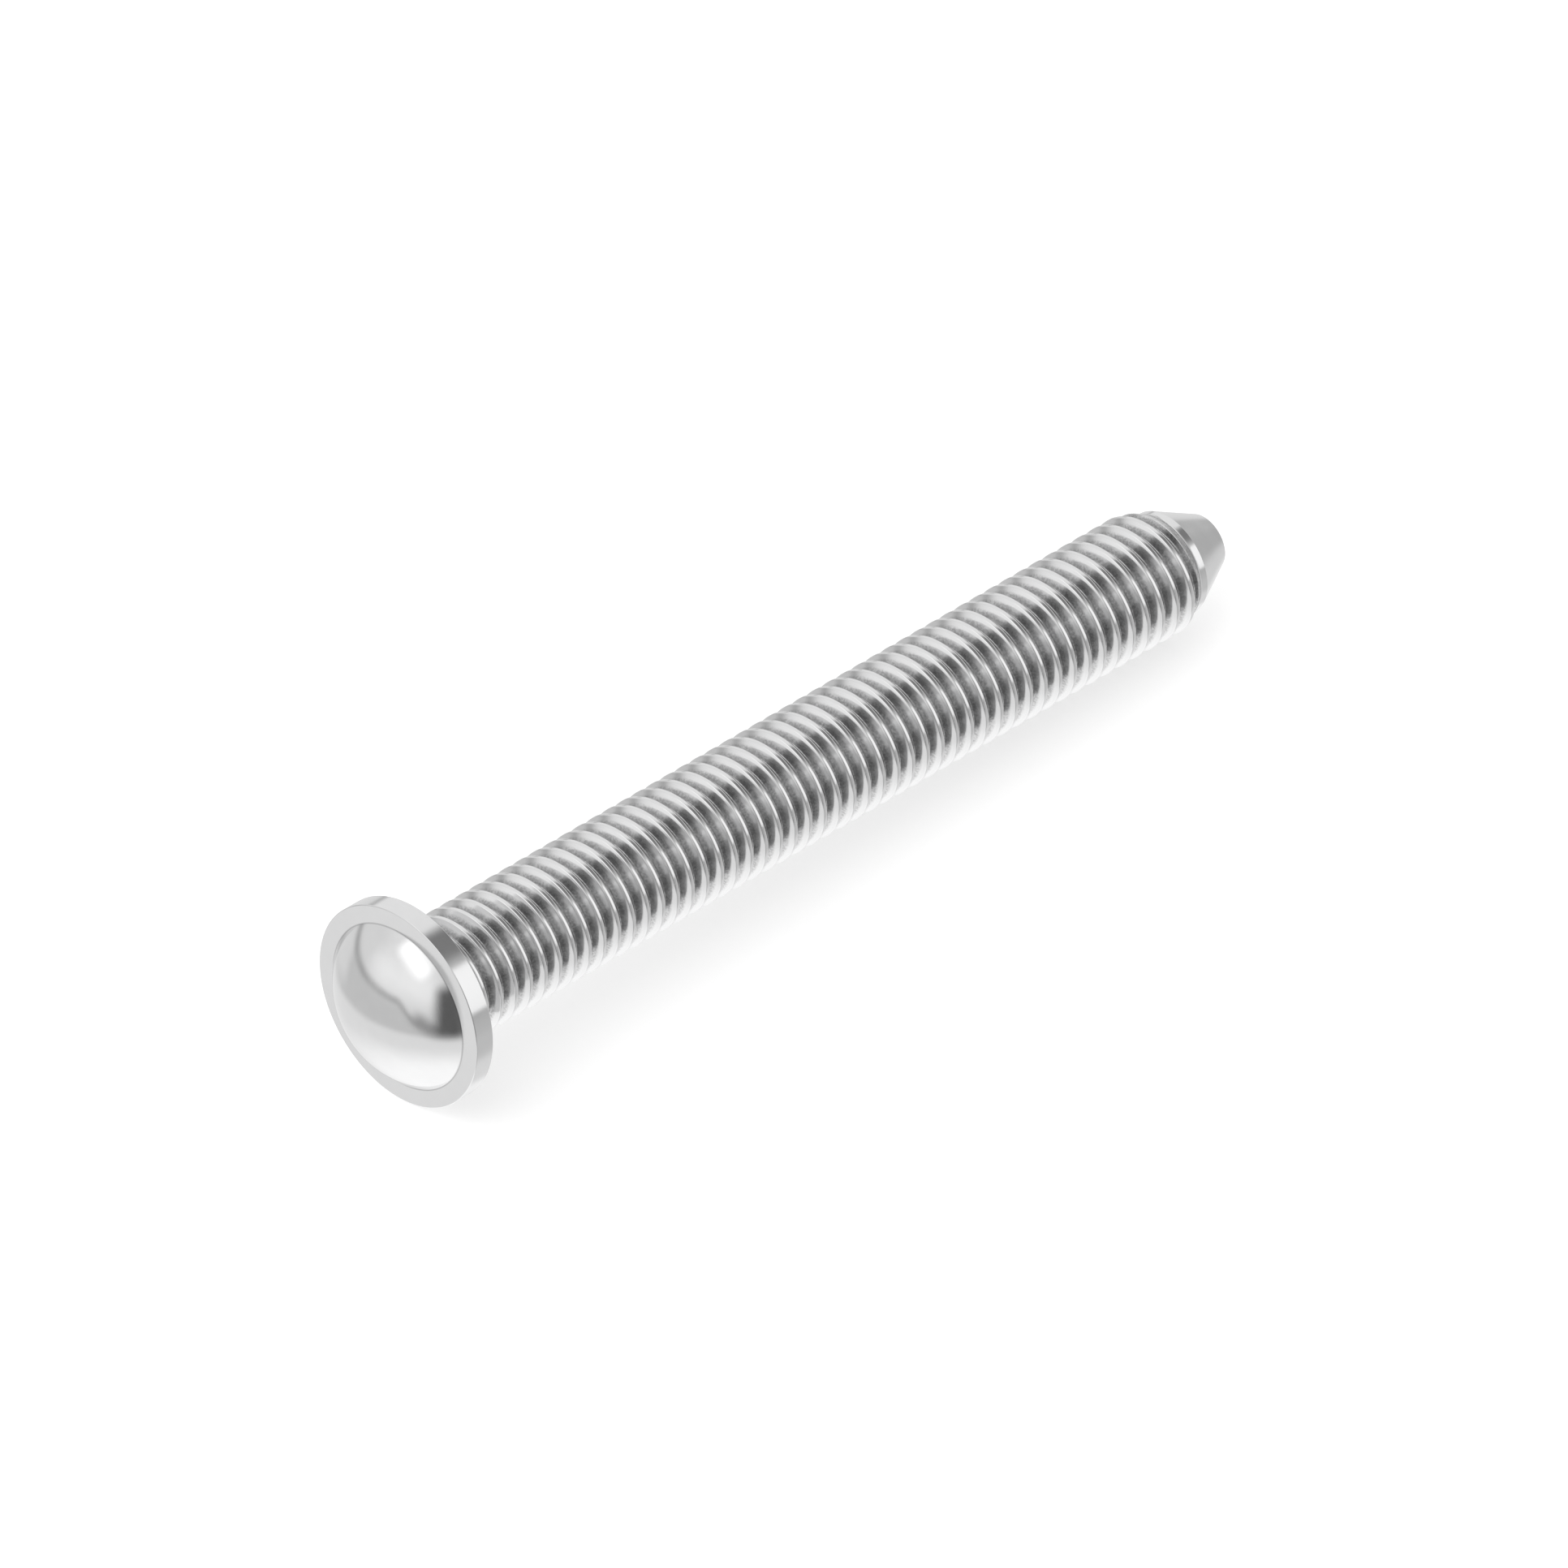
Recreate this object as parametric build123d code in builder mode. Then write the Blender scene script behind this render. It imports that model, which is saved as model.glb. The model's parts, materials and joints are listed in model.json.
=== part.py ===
from build123d import *
from math import asin, atan2, cos, degrees, hypot, radians, sin, tan
import os

os.makedirs("parts", exist_ok=True)

# A self-tapping screw, lying on the floor z = 0 as it comes to rest: the flange's lower edge and the last
# full thread touch the floor, so the axis slopes down a little from the head to the point.
# +X runs from the head to the point, and the origin is on the floor under the middle of the screw.

# Driving dimensions, in millimetres and degrees
thread_diameter = 8.0
full_thread_length = 62.4
run_out_angle = 30.0
pilot_diameter = 6.76
pilot_length = 0.55
point_length = 3.1
point_end_diameter = 3.6
flange_diameter = 13.4
flange_thickness = 1.4
rim_rounding = 0.06
dome_diameter = 11.0
dome_height = 2.8

# Radii
thread_radius = thread_diameter / 2
pilot_radius = pilot_diameter / 2
point_end_radius = point_end_diameter / 2
flange_radius = flange_diameter / 2
dome_radius = dome_diameter / 2
dome_sphere_radius = (dome_radius**2 + dome_height**2) / (2 * dome_height)

# Places along the axis, from the flange's underside: the shank is positive, the head negative
dome_top = -flange_thickness - dome_height
pilot_start = full_thread_length + (thread_radius - pilot_radius) / tan(radians(run_out_angle))
point_start = pilot_start + pilot_length
shank_length = point_start + point_length

# How it lies: the rounded rim and the last full thread are both on the floor
rim_centre_radius = flange_radius - rim_rounding
contact_span = full_thread_length + rim_rounding
contact_drop = rim_centre_radius - thread_radius
tilt = atan2(contact_drop, contact_span) + asin(rim_rounding / hypot(contact_span, contact_drop))
axis_height = rim_rounding + rim_centre_radius * cos(tilt) - rim_rounding * sin(tilt)
reach_back = (dome_top + dome_sphere_radius) * cos(tilt) - dome_sphere_radius
reach_front = shank_length * cos(tilt) + point_end_radius * sin(tilt)

# The plane through the axis: its x runs from the underside of the flange to the point, its y upwards
lying = Plane(
    origin=(-(reach_back + reach_front) / 2, 0, axis_height),
    x_dir=(cos(tilt), 0, -sin(tilt)),
    z_dir=(0, -1, 0),
)
axis = Axis(lying.origin, lying.x_dir)

with BuildPart() as screw:
    # Half of the section, from the middle of the dome to the end of the point
    with BuildSketch(lying) as section:
        with BuildLine() as outline:
            TangentArc((dome_top, 0), (-flange_thickness, dome_radius), tangent=(0, 1))
            Polyline(
                (-flange_thickness, dome_radius),
                (-flange_thickness, flange_radius),
                (0, flange_radius),
                (0, thread_radius),
                (full_thread_length, thread_radius),
                (pilot_start, pilot_radius),
                (point_start, pilot_radius),
                (shank_length, point_end_radius),
                (shank_length, 0),
                (dome_top, 0),
            )
        make_face()
        rim_corners = section.vertices().group_by(Axis.Y)[-1]
        fillet(rim_corners, radius=rim_rounding)
    revolve(axis=axis)

screw.part.label = "screw"
export_step(screw.part, "parts/screw.step")
print(f"rests at {degrees(tilt):.2f} degrees, axis {axis_height:.3f} mm above the floor at the flange")
print(f"{shank_length:.2f} mm under the head, {screw.part.volume:.1f} cubic millimetres")
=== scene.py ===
"""The self-tapping screw's looks: one closed steel piece with its thread, on a pale floor."""

import json
from collections import namedtuple
from math import ceil, cos, pi, radians, sin, tan

import bmesh
import bpy
import numpy as np
from mathutils import Matrix, Vector


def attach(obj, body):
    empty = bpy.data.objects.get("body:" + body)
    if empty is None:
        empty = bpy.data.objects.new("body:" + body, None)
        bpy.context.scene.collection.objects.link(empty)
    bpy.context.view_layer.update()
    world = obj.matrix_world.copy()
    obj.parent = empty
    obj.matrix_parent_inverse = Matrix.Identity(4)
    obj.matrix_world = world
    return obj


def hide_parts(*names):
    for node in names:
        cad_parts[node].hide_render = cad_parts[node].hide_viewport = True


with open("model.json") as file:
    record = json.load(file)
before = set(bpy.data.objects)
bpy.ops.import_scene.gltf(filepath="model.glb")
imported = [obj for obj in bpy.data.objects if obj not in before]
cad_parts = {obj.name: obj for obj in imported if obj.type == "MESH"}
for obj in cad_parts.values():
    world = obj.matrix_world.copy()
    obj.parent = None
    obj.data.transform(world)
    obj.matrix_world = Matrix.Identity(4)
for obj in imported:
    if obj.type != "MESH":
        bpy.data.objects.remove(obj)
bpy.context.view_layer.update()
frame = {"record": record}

MM = 0.001

# The screw's sizes in millimetres, from the flange's underside at x = 0 to the point at +x.
# The thread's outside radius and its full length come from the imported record's mount.
thread_mount = next(m for m in frame["record"]["mounts"] if m["name"] == "thread")
THREAD_RADIUS = thread_mount["dims"]["r_mm"]
FULL_THREAD = thread_mount["dims"]["length_mm"]
ROOT_RADIUS = 3.325
PITCH = 1.25
CREST_FLAT = PITCH / 5
FLANK_ANGLE = radians(30)
RUN_OUT_ANGLE = radians(30)
PILOT_RADIUS = 3.38
PILOT_LENGTH = 0.55
POINT_LENGTH = 3.1
POINT_END_RADIUS = 1.8
FLANGE_RADIUS = 6.7
FLANGE_THICKNESS = 1.4
DOME_RADIUS = 5.5
DOME_HEIGHT = 2.8
CREST_ROUNDING = 0.05
ROOT_ROUNDING = 0.07
POINT_EDGE_ROUNDING = 0.06
POINT_END_ROUNDING = 0.08
RIM_ROUNDING = 0.06

# How far past the underside the first crest starts, in turns, the step left where the groove has
# run out, and how far past the run-out the thread's mesh meets the pilot's
THREAD_START_TURN = 0.26
GROOVE_LEFT = 0.004
THREAD_OVERLAP = 0.12

# What follows from the sizes
FLANK_SLOPE = 1 / tan(FLANK_ANGLE)
ROOT_HALF = CREST_FLAT / 2 + (THREAD_RADIUS - ROOT_RADIUS) / FLANK_SLOPE
ROOT_FLAT = PITCH - 2 * ROOT_HALF
PILOT_START = FULL_THREAD + (THREAD_RADIUS - PILOT_RADIUS) / tan(RUN_OUT_ANGLE)
THREAD_END = PILOT_START + THREAD_OVERLAP
POINT_START = PILOT_START + PILOT_LENGTH
POINT_END = POINT_START + POINT_LENGTH

# The mesh. A turn of the thread has four roundings of three rows, and a row at the crest's bend,
# which stays that share of the crest's width away from its edges.
COLUMNS = 120
ROWS_PER_TURN = 13
ROUNDING_STEPS = 4
EDGE_STEPS = 2
DOME_STEPS = 28
HALVINGS = 40
LARGEST_CUT = 0.33
BEND_INSET = 0.38
CUT_TOLERANCE = 1e-8
SHARP_ANGLE = radians(40)
FLATNESS = 3

# The photograph: parallel projection at the same angle to the screw's axis, width and height
PHOTO_SIZE = 1932
PIXELS_PER_MM = 20.5
HEAD_PIXEL = (490.5, 1240.3)
CAMERA_DISTANCE = 0.4

# The lamp and the floor: metres, watts and linear colours
WHITE = (1, 1, 1, 1)
KEY_DIRECTION = (176, 55)
KEY_DISTANCE = 1.6
KEY_WIDTH = 1.6
KEY_HEIGHT = 1.0
KEY_POWER = 4.0
FLOOR_HALF = 2.0
FLOOR_GLOW = 0.62
FLOOR_COLOUR = (0.6, 0.6, 0.6, 1)

# The studio's soft-edged panels: where each is, how large and how soft at its edge, in degrees,
# its level, of which 1 is white, and its turn. A later panel lies over an earlier one.
Panel = namedtuple("Panel", "azimuth elevation width height softness level turn", defaults=(0,))
WALLS_AND_GROUND = {
    "pale wall beyond the head": Panel(178, 24, 76, 30, 16, 1.02),
    "pale wall behind the point": Panel(42, 28, 56, 52, 12, 0.92),
    "ground behind the point": Panel(58, -14, 92, 28, 8, 0.80),
    "grey wall in front": Panel(298, 34, 112, 84, 7, 0.57),
    "grey ground beside the point": Panel(330, -34, 84, 26, 9, 0.74),
    "darker ground in front": Panel(305, -30, 40, 34, 9, 0.62),
    "dark gap on the ground in front": Panel(277, -40, 28, 36, 8, 0.34),
    "dark gap low in front": Panel(287, -11, 30, 24, 8, 0.25),
}
CARDS_AND_LAMPS = {
    "grey card beyond the point": Panel(2, -2, 42, 22, 6, 0.50),
    "dark streak low beside the head": Panel(206, -15, 26, 12, 8, 0.34, -35),
    "dark gap beside the head": Panel(230, 0, 28, 54, 8, 0.12),
    "tall lamp in front of the point": Panel(311, 19, 18, 40, 3, 1.15),
    "dark gap overhead": Panel(341, 63, 29, 38, 6, 0.23),
    "pale ground under the point": Panel(340, -52, 28, 20, 8, 0.82),
    "lamp over the head": Panel(177, 47, 40, 17, 7, 1.5, -22),
}
LOWEST_DEPTH = 0.05

# The grey line where the studio's ground meets its walls: heights are sines of the elevation
HORIZON_BAND = 0.11
LINE_HEIGHT = HORIZON_BAND / 2
LINE_SHADE = 0.62

# The steel: linear colours, and noise in waves to a metre
DARK_STEEL = (0.775, 0.775, 0.778, 1)
PALE_STEEL = (0.795, 0.795, 0.797, 1)
CLOUD_SCALE = 900.0
GRAIN_SCALE = 7000.0
MARKS_SCALE = 8000.0
MARKS_ROUND_AXIS = 1.5
NOISE_ROUGHNESS = 0.6
# Painted shade: how much the thread's lower flanks and root, and the crease round the dome's foot,
# are darkened
LOWER_FLANK_PAINTED_SHADE = 0.28
ROOT_PAINTED_SHADE = 0.35
CREASE_PAINTED_SHADE = 0.3
LOWER_FLANK_ROUGHNESS = 0.05
CREST_GRAIN_DEPTH = 0.5e-6
FLANK_GRAIN_DEPTH = 3.0e-6
MARKS_DEPTH = 0.7e-6


def screw_matrix():
    """The screw's own frame: x along its axis from the flange's underside, y level, z upwards."""
    x_axis = Vector(thread_mount["axis"]).normalized()
    y_axis = Vector((0, 1, 0))
    z_axis = x_axis.cross(y_axis)
    origin = Vector(thread_mount["pos_m"]) - x_axis * (FULL_THREAD * MM / 2)
    turn = Matrix((x_axis, y_axis, z_axis)).transposed()
    return Matrix.Translation(origin) @ turn.to_4x4()


SCREW = screw_matrix()


def make_camera():
    """Looks at the screw from its head's side, its front and above in equal parts."""
    turn = SCREW.to_3x3()
    right = (turn @ Vector((1, -1, 0))).normalized()
    up = (turn @ Vector((1, 1, 2))).normalized()
    back = (turn @ Vector((-1, -1, 1))).normalized()
    head = SCREW @ Vector((-FLANGE_THICKNESS * MM, 0, 0))
    metres_per_pixel = MM / PIXELS_PER_MM
    to_the_right = (PHOTO_SIZE / 2 - HEAD_PIXEL[0]) * metres_per_pixel
    upwards = (HEAD_PIXEL[1] - PHOTO_SIZE / 2) * metres_per_pixel
    centre = head + right * to_the_right + up * upwards
    camera = bpy.data.objects.new("camera", bpy.data.cameras.new("camera"))
    bpy.context.scene.collection.objects.link(camera)
    camera.data.type = "ORTHO"
    camera.data.ortho_scale = PHOTO_SIZE * metres_per_pixel
    camera.data.clip_start = 0.01
    camera.data.clip_end = 5
    camera.matrix_world = Matrix.Translation(centre + back * CAMERA_DISTANCE) @ Matrix(
        (right, up, back)
    ).transposed().to_4x4()
    bpy.context.scene.camera = camera


def smooth_step(t):
    """0 up to t = 0, 1 from t = 1 on, and an even curve between them."""
    t = np.clip(t, 0, 1)
    return t * t * (3 - 2 * t)


def crest_radius(x):
    """How far the thread's crests reach at x: full, then down the run-out's cone to the pilot."""
    cone = THREAD_RADIUS - (x - FULL_THREAD) * tan(RUN_OUT_ANGLE)
    return np.clip(cone, PILOT_RADIUS, THREAD_RADIUS)


def root_radius(x):
    """The groove's floor at x. It rises out of the screw along the thread's last turn."""
    fade = smooth_step((x - PILOT_START + PITCH) / PITCH)
    return ROOT_RADIUS + fade * (PILOT_RADIUS - GROOVE_LEFT - ROOT_RADIUS)


def crest_corner(crest_x, side):
    """Where a flank meets the crest: the distance from the crest's middle, found by halving."""
    foot = root_radius(crest_x + side * ROOT_HALF)
    low = np.zeros_like(crest_x)
    high = np.full_like(crest_x, ROOT_HALF)
    for _ in range(HALVINGS):
        middle = (low + high) / 2
        flank = foot + (ROOT_HALF - middle) * FLANK_SLOPE
        above = flank > crest_radius(crest_x + side * middle)
        low = np.where(above, middle, low)
        high = np.where(above, high, middle)
    return (low + high) / 2


def toward(start, end, distance):
    """The point at that distance from start on the way to end, or at most a third of the way."""
    gap = end - start
    whole = np.maximum(np.hypot(gap[0], gap[1]), 1e-9)
    return start + gap * np.minimum(distance / whole, LARGEST_CUT)


def rounded(before, corner, after, distance):
    """Three points that take a corner off the profile."""
    first = toward(corner, before, distance)
    last = toward(corner, after, distance)
    return [first, (first + 2 * corner + last) / 4, last]


def on_groove(x):
    return np.array([x, root_radius(x)])


def on_crest(x):
    return np.array([x, crest_radius(x)])


def thread_rows(angles):
    """The thread's profile, turn by turn: each row's x and radius at each angle round the axis."""
    rows = []
    for turn in range(-1, ceil(THREAD_END / PITCH) + 2):
        crest_x = PITCH * (turn + THREAD_START_TURN + angles / (2 * pi))
        head_foot = on_groove(crest_x - ROOT_HALF)
        tip_foot = on_groove(crest_x + ROOT_HALF)
        head_x = crest_x - crest_corner(crest_x, -1)
        tip_x = crest_x + crest_corner(crest_x, 1)
        head_crest = on_crest(head_x)
        tip_crest = on_crest(tip_x)
        inset = BEND_INSET * (tip_x - head_x)
        crest_bend = on_crest(np.clip(PILOT_START, head_x + inset, tip_x - inset))
        root_before = on_groove(crest_x - ROOT_HALF - ROOT_FLAT)
        root_after = on_groove(crest_x + ROOT_HALF + ROOT_FLAT)
        rows += rounded(root_before, head_foot, head_crest, ROOT_ROUNDING)
        rows += rounded(head_foot, head_crest, tip_crest, CREST_ROUNDING)
        rows += [crest_bend]
        rows += rounded(head_crest, tip_crest, tip_foot, CREST_ROUNDING)
        rows += rounded(tip_crest, tip_foot, root_after, ROOT_ROUNDING)
    return np.array(rows)


def add_rows(mesh, rows, angles, shift=0):
    """Skins the rows with quads round the axis. The last column meets the first, shift rows on."""
    points = []
    for x, radius in rows:
        points.append(
            [
                mesh.verts.new((px * MM, pr * cos(a) * MM, pr * sin(a) * MM))
                for px, pr, a in zip(x, radius, angles)
            ]
        )
    last = len(angles) - 1
    for low, high in zip(range(len(rows) - 1), range(1, len(rows))):
        for column in range(last):
            mesh.faces.new(
                (
                    points[low][column],
                    points[low][column + 1],
                    points[high][column + 1],
                    points[high][column],
                )
            )
        if high + shift < len(rows):
            mesh.faces.new(
                (
                    points[low][last],
                    points[low + shift][0],
                    points[high + shift][0],
                    points[high][last],
                )
            )
    return points


def cut_thread(mesh, x, keep_after):
    """Cuts the thread square across at x and returns the edges of the cut."""
    cut = bmesh.ops.bisect_plane(
        mesh,
        geom=mesh.verts[:] + mesh.edges[:] + mesh.faces[:],
        dist=CUT_TOLERANCE,
        plane_co=(x * MM, 0, 0),
        plane_no=(1, 0, 0),
        clear_inner=keep_after,
        clear_outer=not keep_after,
    )
    return [e for e in cut["geom_cut"] if isinstance(e, bmesh.types.BMEdge)]


def arc(centre_x, centre_r, radius, start, end, steps):
    """Points on an arc of the section; the angles are in degrees from +x towards +r."""
    turns = np.radians(np.linspace(start, end, steps + 1))
    return [(centre_x + radius * cos(t), centre_r + radius * sin(t)) for t in turns]


def head_section():
    """The head's half section, from the flange's underside round the rim to the dome's middle."""
    inner = FLANGE_RADIUS - RIM_ROUNDING
    sphere = (DOME_RADIUS**2 + DOME_HEIGHT**2) / (2 * DOME_HEIGHT)
    sphere_x = -FLANGE_THICKNESS - DOME_HEIGHT + sphere
    base_angle = 180 - np.degrees(np.arcsin(DOME_RADIUS / sphere))
    section = arc(-RIM_ROUNDING, inner, RIM_ROUNDING, 0, 90, ROUNDING_STEPS)
    front = -FLANGE_THICKNESS + RIM_ROUNDING
    section += arc(front, inner, RIM_ROUNDING, 90, 180, ROUNDING_STEPS)
    section += arc(sphere_x, 0, sphere, base_angle, 180, DOME_STEPS)[:-1]
    return section, sphere_x - sphere


def point_section():
    """The point's half section, from the thread's end along the pilot and the cone to the end."""
    half = np.arctan2(PILOT_RADIUS - POINT_END_RADIUS, POINT_LENGTH)
    turn = pi / 2 - half
    setback = POINT_END_ROUNDING * tan(turn / 2)
    inner = POINT_END_RADIUS - setback
    section = [(THREAD_END + POINT_EDGE_ROUNDING, PILOT_RADIUS)]
    edge_x = POINT_START - POINT_EDGE_ROUNDING * tan(half / 2)
    edge_r = PILOT_RADIUS - POINT_EDGE_ROUNDING
    cone_angle = 90 - np.degrees(half)
    section += arc(edge_x, edge_r, POINT_EDGE_ROUNDING, 90, cone_angle, EDGE_STEPS)
    centre_x = POINT_END - POINT_END_ROUNDING
    section += arc(centre_x, inner, POINT_END_ROUNDING, cone_angle, 0, ROUNDING_STEPS)
    return section


def lathe(mesh, section, angles):
    """Turns a half section round the axis and returns its rings of points."""
    rows = [(np.full_like(angles, x), np.full_like(angles, r)) for x, r in section]
    return add_rows(mesh, rows, angles)


def close_middle(mesh, ring, x):
    """Closes a ring of the lathe onto the axis."""
    middle = mesh.verts.new((x * MM, 0, 0))
    for start, end in zip(ring, ring[1:] + ring[:1]):
        mesh.faces.new((start, end, middle))


def ring_edges(mesh, ring):
    """The edges that join a ring's points."""
    return [mesh.edges.get((start, end)) for start, end in zip(ring, ring[1:] + ring[:1])]


def even_normals(mesh):
    """A normal for each corner of each face: flats shade flat, and their roundings smooth."""
    mesh.normal_update()
    weights = [(face.calc_area() / MM**2) ** FLATNESS for face in mesh.faces]
    mesh.faces.index_update()
    limit = cos(SHARP_ANGLE)
    normals = []
    for face in mesh.faces:
        for corner in face.verts:
            near = [f for f in corner.link_faces if f.normal.dot(face.normal) > limit]
            normals.append(sum((f.normal * weights[f.index] for f in near), Vector()).normalized())
    return normals


def make_screw():
    """The whole screw as one closed mesh: head, thread, cut square at both ends, and point."""
    angles = np.arange(COLUMNS) * 2 * pi / COLUMNS
    mesh = bmesh.new()
    add_rows(mesh, thread_rows(angles), angles, shift=ROWS_PER_TURN)
    under_head = cut_thread(mesh, 0, keep_after=True)
    at_pilot = cut_thread(mesh, THREAD_END, keep_after=False)
    loose = [v for v in mesh.verts if not v.link_faces]
    bmesh.ops.delete(mesh, geom=loose, context="VERTS")
    under_head = [e for e in under_head if e.is_valid]
    head, apex = head_section()
    head_rings = lathe(mesh, head, angles)
    close_middle(mesh, head_rings[-1], apex)
    bmesh.ops.triangle_fill(
        mesh, use_beauty=True, edges=under_head + ring_edges(mesh, head_rings[0])
    )
    point_rings = lathe(mesh, point_section(), angles)
    close_middle(mesh, point_rings[-1], POINT_END)
    bmesh.ops.bridge_loops(mesh, edges=at_pilot + ring_edges(mesh, point_rings[0]))
    bmesh.ops.recalc_face_normals(mesh, faces=mesh.faces)
    open_edges = sum(1 for e in mesh.edges if len(e.link_faces) != 2)
    print(f"screw: {len(mesh.verts)} points, {len(mesh.faces)} faces, {open_edges} open edges")
    data = bpy.data.meshes.new("self_tapping_screw")
    mesh.transform(SCREW)
    mesh.to_mesh(data)
    data.shade_smooth()
    data.normals_split_custom_set(even_normals(mesh))
    mesh.free()
    screw = bpy.data.objects.new("self_tapping_screw", data)
    bpy.context.scene.collection.objects.link(screw)
    return screw


def add_node(tree, kind, **settings):
    """A new node. Settings named in_0 or in_Name are its inputs, and the others its options."""
    node = tree.nodes.new(kind)
    for name, value in settings.items():
        if not name.startswith("in_"):
            setattr(node, name, value)
    for name, value in settings.items():
        if name.startswith("in_"):
            key = name[3:].replace("_", " ")
            socket = node.inputs[int(key)] if key.isdigit() else node.inputs[key]
            if isinstance(value, bpy.types.NodeSocket):
                tree.links.new(value, socket)
            else:
                socket.default_value = value
    return node


def maths(tree, operation, first, second=0.0, clamp=False):
    """One operation on two values, each of which is a number or a node's output."""
    node = add_node(tree, "ShaderNodeMath", operation=operation, in_0=first, in_1=second)
    node.use_clamp = clamp
    return node.outputs[0]


def ramp(tree, value, start, end, low=0.0, high=1.0):
    """low up to start, high from end on, and an even curve between them."""
    node = add_node(
        tree,
        "ShaderNodeMapRange",
        interpolation_type="SMOOTHSTEP",
        in_Value=value,
        in_From_Min=start,
        in_From_Max=end,
        in_To_Min=low,
        in_To_Max=high,
    )
    return node.outputs["Result"]


def blend_value(tree, share, first, second):
    """first where share is 0, second where it is 1."""
    node = add_node(tree, "ShaderNodeMix", data_type="FLOAT", in_Factor=share)
    for socket, value in ((node.inputs[2], first), (node.inputs[3], second)):
        if isinstance(value, bpy.types.NodeSocket):
            tree.links.new(value, socket)
        else:
            socket.default_value = value
    return node.outputs[0]


def length(tree, first, second):
    """The length of the diagonal over two sides."""
    squares = (maths(tree, "MULTIPLY", side, side) for side in (first, second))
    return maths(tree, "SQRT", maths(tree, "ADD", *squares))


def noise(tree, vector, scale, detail):
    """Even noise from 0 to 1."""
    node = add_node(
        tree,
        "ShaderNodeTexNoise",
        in_Vector=vector,
        in_Scale=scale,
        in_Detail=detail,
        in_Roughness=NOISE_ROUGHNESS,
    )
    return node.outputs["Fac"]


def thread_share(tree, radius, on_thread, start, end):
    """1 below the height end and 0 above start, where 0 is the thread's root and 1 its crest."""
    depth = THREAD_RADIUS - ROOT_RADIUS
    start_radius = (ROOT_RADIUS + start * depth) * MM
    end_radius = (ROOT_RADIUS + end * depth) * MM
    return maths(tree, "MULTIPLY", ramp(tree, radius, start_radius, end_radius), on_thread)


def dot(tree, vector, other):
    """How far the vector reaches along the other."""
    node = add_node(tree, "ShaderNodeVectorMath", operation="DOT_PRODUCT", in_0=vector, in_1=other)
    return node.outputs["Value"]


def direction(azimuth, elevation):
    """A direction from the screw: azimuth 0 is to its point, 180 to its head, 270 to the front."""
    a, e = radians(azimuth), radians(elevation)
    return SCREW.to_3x3() @ Vector((cos(a) * cos(e), sin(a) * cos(e), sin(e)))


def add_panel(tree, ray, light, panel):
    """Lays a soft-edged rectangle over the studio's light, as seen from the studio's middle."""
    ahead = direction(panel.azimuth, panel.elevation)
    level_side = direction(0, 90).cross(ahead).normalized()
    level_over = ahead.cross(level_side)
    turn = radians(panel.turn)
    side = level_side * cos(turn) + level_over * sin(turn)
    over = level_over * cos(turn) - level_side * sin(turn)
    depth = dot(tree, ray, ahead)
    share = maths(tree, "GREATER_THAN", depth, LOWEST_DEPTH)
    depth = maths(tree, "MAXIMUM", depth, LOWEST_DEPTH)
    for axis, size in ((side, panel.width), (over, panel.height)):
        offset = maths(tree, "ABSOLUTE", maths(tree, "DIVIDE", dot(tree, ray, axis), depth))
        outer = tan(radians(size / 2 + panel.softness))
        inner = tan(radians(max(size / 2 - panel.softness, 0)))
        share = maths(tree, "MULTIPLY", share, ramp(tree, offset, outer, inner))
    return blend_value(tree, share, light, panel.level)


def studio_light(tree, ray):
    """The studio's level by direction: ground, walls, the grey line between them, and panels."""
    height = dot(tree, ray, direction(0, 90))

    # The ground is greyer towards the horizon and paler straight below
    ground = ramp(
        tree, height, start=sin(radians(-31)), end=sin(radians(-24)), low=0.87, high=0.65
    )
    ground = maths(tree, "ADD", ground, ramp(tree, height, start=-0.62, end=-0.97, high=0.33))
    walls = ramp(tree, height, start=0.45, end=0.95, low=0.80, high=0.95)

    # The horizon sinks beside the head
    beside_head = dot(tree, ray, direction(232, -8))
    dip = ramp(tree, beside_head, start=cos(radians(58)), end=cos(radians(20)), high=0.36)
    above_horizon = maths(tree, "ADD", height, dip)
    on_walls = ramp(tree, above_horizon, start=0.0, end=HORIZON_BAND)
    light = blend_value(tree, on_walls, ground, walls)
    for panel in WALLS_AND_GROUND.values():
        light = add_panel(tree, ray, light, panel)

    off_line = maths(tree, "ABSOLUTE", maths(tree, "SUBTRACT", above_horizon, LINE_HEIGHT))
    line = ramp(tree, off_line, start=HORIZON_BAND, end=0.0)
    light = blend_value(tree, line, light, maths(tree, "MULTIPLY", light, LINE_SHADE))
    for panel in CARDS_AND_LAMPS.values():
        light = add_panel(tree, ray, light, panel)
    return light


def seen_plainly(tree):
    """1 for what the camera sees, straight or through glass, and 0 for all else."""
    rays = add_node(tree, "ShaderNodeLightPath").outputs
    return maths(tree, "ADD", rays["Is Camera Ray"], rays["Is Transmission Ray"], clamp=True)


def make_world():
    """The studio that lights the metal and shows in it, and plain white to the camera."""
    world = bpy.data.worlds.new("studio")
    bpy.context.scene.world = world
    world.use_nodes = True
    tree = world.node_tree
    tree.nodes.clear()
    ray = add_node(tree, "ShaderNodeTexCoord").outputs["Generated"]
    light = studio_light(tree, ray)
    studio = add_node(tree, "ShaderNodeBackground", in_Color=WHITE, in_Strength=light)
    white = add_node(tree, "ShaderNodeBackground", in_Color=WHITE, in_Strength=1.0)
    mixed = add_node(
        tree,
        "ShaderNodeMixShader",
        in_0=seen_plainly(tree),
        in_1=studio.outputs[0],
        in_2=white.outputs[0],
    )
    output = add_node(tree, "ShaderNodeOutputWorld")
    tree.links.new(mixed.outputs[0], output.inputs["Surface"])


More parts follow.
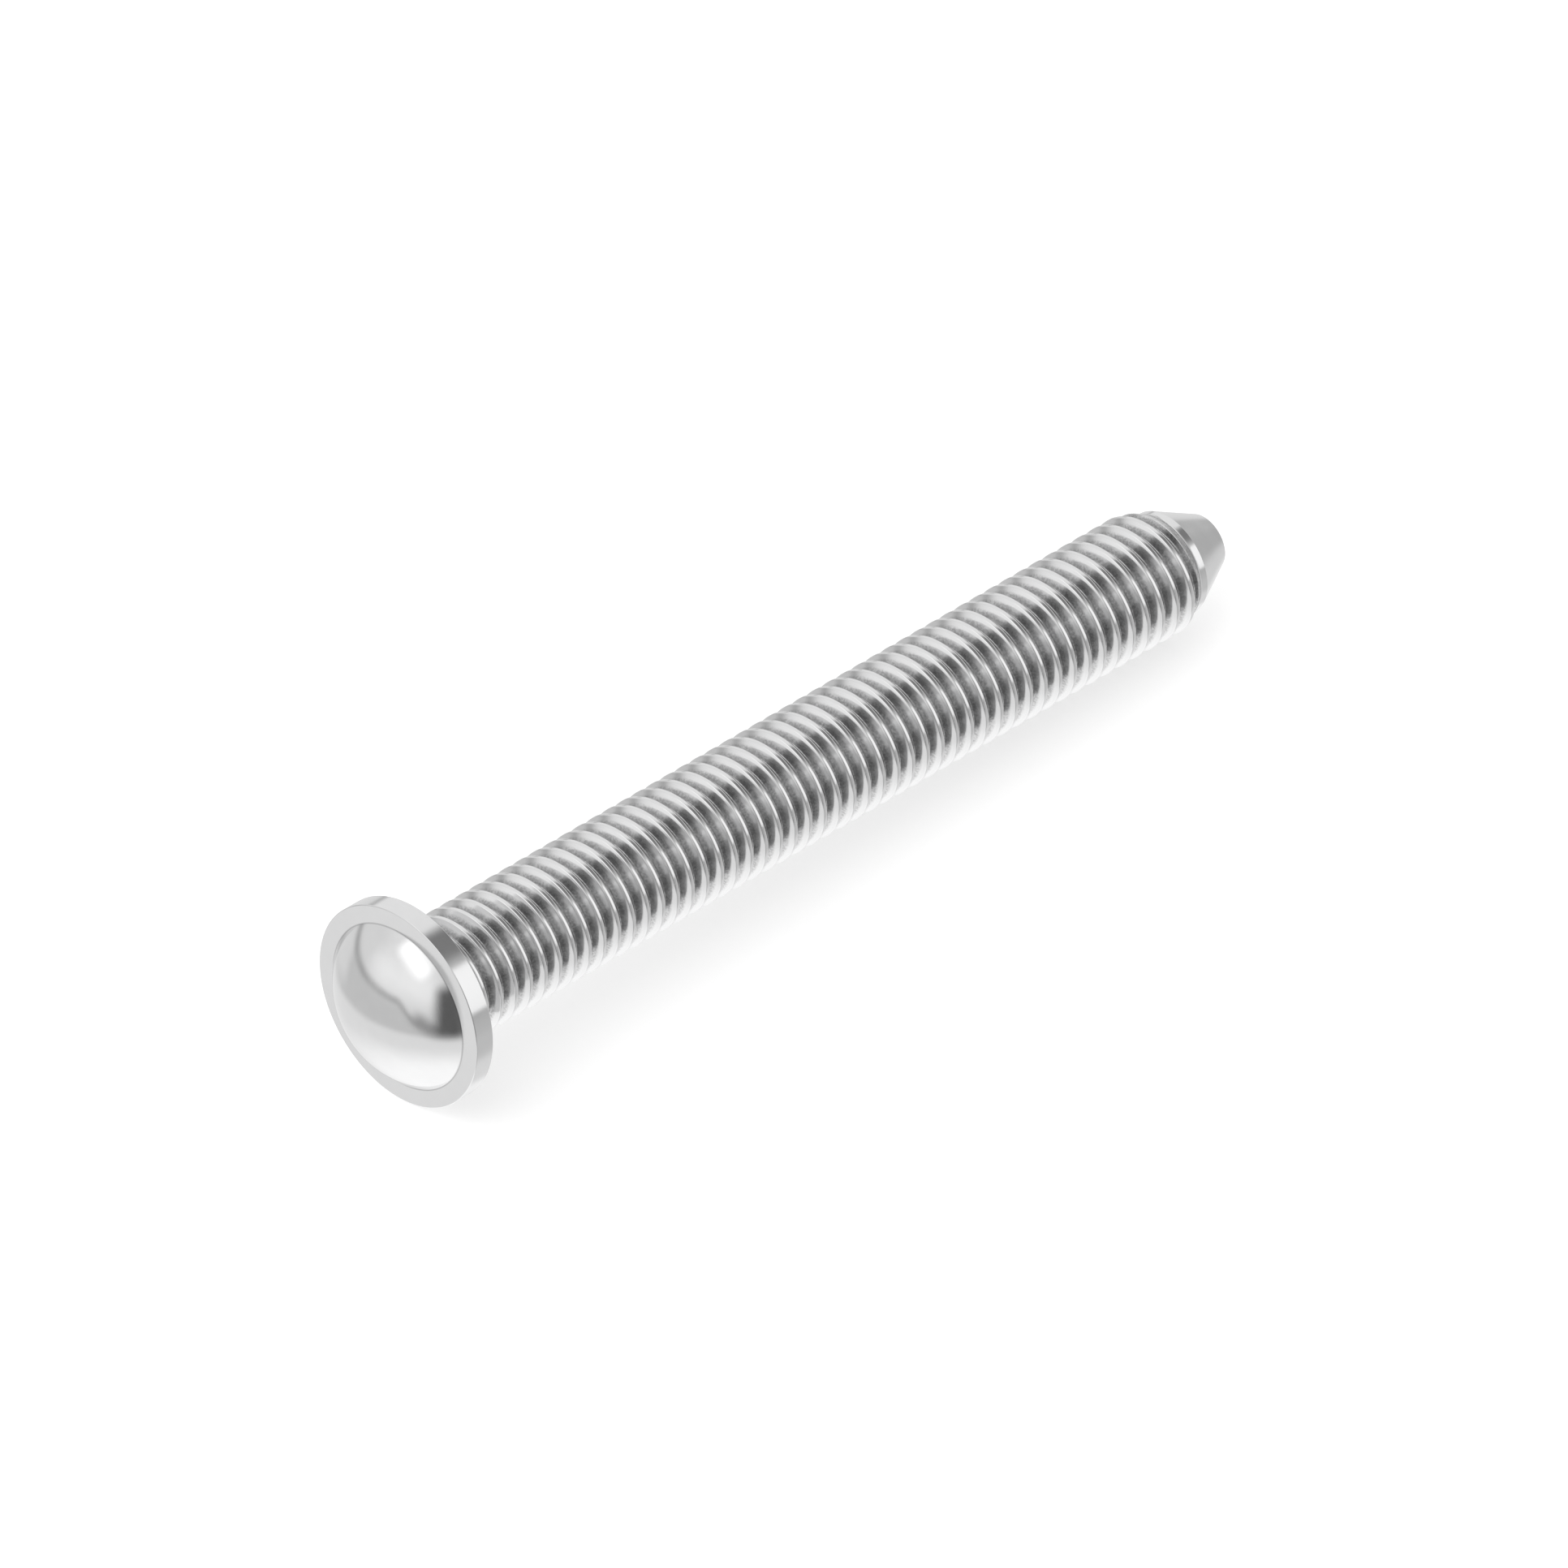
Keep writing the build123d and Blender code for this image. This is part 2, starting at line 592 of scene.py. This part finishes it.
def make_key_light():
    """One large soft lamp over the head's side, for the shadow that grounds the screw."""
    lamp = bpy.data.lights.new("key", "AREA")
    lamp.shape = "RECTANGLE"
    lamp.size = KEY_WIDTH
    lamp.size_y = KEY_HEIGHT
    lamp.energy = KEY_POWER
    key = bpy.data.objects.new("key", lamp)
    bpy.context.scene.collection.objects.link(key)
    back = direction(*KEY_DIRECTION)
    key.location = back * KEY_DISTANCE
    key.rotation_mode = "QUATERNION"
    key.rotation_quaternion = back.to_track_quat("Z", "Y")
    key.visible_camera = False
    key.visible_glossy = False


def make_floor():
    """A wide pale floor: plain white to the camera with the screw's soft shadow on it."""
    half = FLOOR_HALF
    corners = [(-half, -half, 0), (half, -half, 0), (half, half, 0), (-half, half, 0)]
    data = bpy.data.meshes.new("floor")
    data.from_pydata(corners, [], [(0, 1, 2, 3)])
    floor = bpy.data.objects.new("floor", data)
    bpy.context.scene.collection.objects.link(floor)
    material = bpy.data.materials.new("floor")
    material.use_nodes = True
    tree = material.node_tree
    tree.nodes.clear()
    strength = maths(tree, "MULTIPLY", seen_plainly(tree), FLOOR_GLOW)
    glow = add_node(tree, "ShaderNodeEmission", in_Color=WHITE, in_Strength=strength)
    matt = add_node(tree, "ShaderNodeBsdfDiffuse", in_Color=FLOOR_COLOUR)
    both = add_node(tree, "ShaderNodeAddShader", in_0=glow.outputs[0], in_1=matt.outputs[0])
    output = add_node(tree, "ShaderNodeOutputMaterial")
    tree.links.new(both.outputs[0], output.inputs["Surface"])
    data.materials.append(material)
    floor.visible_glossy = False


def steel_masks(tree, along, radius):
    """Where the thread's root and lower flanks are, and the crease round the dome's foot, which
    painted shade darkens.
    """
    on_thread = maths(
        tree,
        "MULTIPLY",
        maths(tree, "GREATER_THAN", along, 0.0),
        maths(tree, "LESS_THAN", along, PILOT_START * MM),
    )
    # Masks for painted shade in the thread's root and lower flanks; the lower flanks' mask also
    # sets roughness and grain
    root = thread_share(tree, radius, on_thread, start=0.1, end=0.0)
    lower_flank = thread_share(tree, radius, on_thread, start=0.7, end=0.35)
    # The crease round the dome's foot, where a thin line of painted shade goes
    from_crease = length(
        tree,
        maths(tree, "ADD", along, FLANGE_THICKNESS * MM),
        maths(tree, "SUBTRACT", radius, DOME_RADIUS * MM),
    )
    crease = ramp(tree, from_crease, start=0.09 * MM, end=0.01 * MM)
    return root, lower_flank, crease


def steel_marks(tree, along, radius, angle):
    """Fine marks that run round the axis, as rolling and turning leave them."""
    round_axis = add_node(
        tree,
        "ShaderNodeCombineXYZ",
        in_0=maths(tree, "MULTIPLY", along, MARKS_SCALE),
        in_1=maths(tree, "MULTIPLY", radius, MARKS_SCALE),
        in_2=maths(tree, "MULTIPLY", angle, MARKS_ROUND_AXIS),
    )
    return noise(tree, round_axis.outputs[0], 1.0, 3.0)


def steel_colour(tree, cloud, grain, root, lower_flank, crease):
    """Cloudy bright steel, speckled low on the flanks, with painted shade in the thread's depth
    and the crease.
    """
    shade = 1.0
    # Painted shade darkens the thread's lower flanks and root, and the crease round the dome's
    # foot
    for share, loss in (
        (lower_flank, LOWER_FLANK_PAINTED_SHADE),
        (root, ROOT_PAINTED_SHADE),
        (crease, CREASE_PAINTED_SHADE),
    ):
        left = maths(tree, "SUBTRACT", 1.0, maths(tree, "MULTIPLY", share, loss))
        shade = maths(tree, "MULTIPLY", left, shade)
    speckle = ramp(tree, grain, start=0.35, end=0.65, low=0.80, high=1.12)
    shade = maths(tree, "MULTIPLY", shade, blend_value(tree, lower_flank, 1.0, speckle))
    clouds = ramp(tree, cloud, start=0.3, end=0.7)
    colour = add_node(tree, "ShaderNodeMix", data_type="RGBA", in_Factor=clouds)
    colour.inputs[6].default_value = DARK_STEEL
    colour.inputs[7].default_value = PALE_STEEL
    dimmed = add_node(
        tree, "ShaderNodeVectorMath", operation="SCALE", in_0=colour.outputs[2], in_Scale=shade
    )
    return dimmed.outputs[0]


def steel_surface(tree, grain, marks, lower_flank):
    """The shading normal: grain, deepest low on the flanks, and the marks over it."""
    depth = blend_value(tree, lower_flank, CREST_GRAIN_DEPTH, FLANK_GRAIN_DEPTH)
    grainy = add_node(tree, "ShaderNodeBump", in_Strength=1.0, in_Distance=depth, in_Height=grain)
    marked = add_node(
        tree,
        "ShaderNodeBump",
        in_Strength=1.0,
        in_Distance=MARKS_DEPTH,
        in_Height=marks,
        in_Normal=grainy.outputs[0],
    )
    return marked.outputs[0]


def make_steel():
    """Bright rolled steel: fine grain, marks round the axis, duller thread roots, and painted
    shade in their depth.
    """
    material = bpy.data.materials.new("bright_steel")
    material.use_nodes = True
    tree = material.node_tree
    tree.nodes.clear()
    here = add_node(tree, "ShaderNodeTexCoord").outputs["Object"]
    place = add_node(
        tree,
        "ShaderNodeMapping",
        vector_type="TEXTURE",
        in_Vector=here,
        in_Location=SCREW.to_translation(),
        in_Rotation=SCREW.to_euler(),
    ).outputs[0]
    parts = add_node(tree, "ShaderNodeSeparateXYZ", in_0=place).outputs
    along = parts["X"]
    radius = length(tree, parts["Y"], parts["Z"])
    angle = maths(tree, "ARCTAN2", parts["Y"], parts["Z"])

    root, lower_flank, crease = steel_masks(tree, along, radius)
    cloud = noise(tree, place, CLOUD_SCALE, 3.0)
    grain = noise(tree, place, GRAIN_SCALE, 2.0)
    marks = steel_marks(tree, along, radius, angle)
    duller = maths(tree, "MULTIPLY", lower_flank, LOWER_FLANK_ROUGHNESS)
    cloudy = ramp(tree, cloud, start=0.3, end=0.7, low=0.10, high=0.14)
    metal = add_node(
        tree,
        "ShaderNodeBsdfPrincipled",
        in_Metallic=1.0,
        in_Roughness=maths(tree, "ADD", cloudy, duller),
        in_Base_Color=steel_colour(tree, cloud, grain, root, lower_flank, crease),
        in_Normal=steel_surface(tree, grain, marks, lower_flank),
    )
    output = add_node(tree, "ShaderNodeOutputMaterial")
    tree.links.new(metal.outputs[0], output.inputs["Surface"])
    return material


make_camera()
make_world()
make_key_light()
make_floor()
screw = make_screw()
screw.data.materials.append(make_steel())
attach(screw, "root")
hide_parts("screw")
bpy.context.scene.view_settings.view_transform = "Standard"
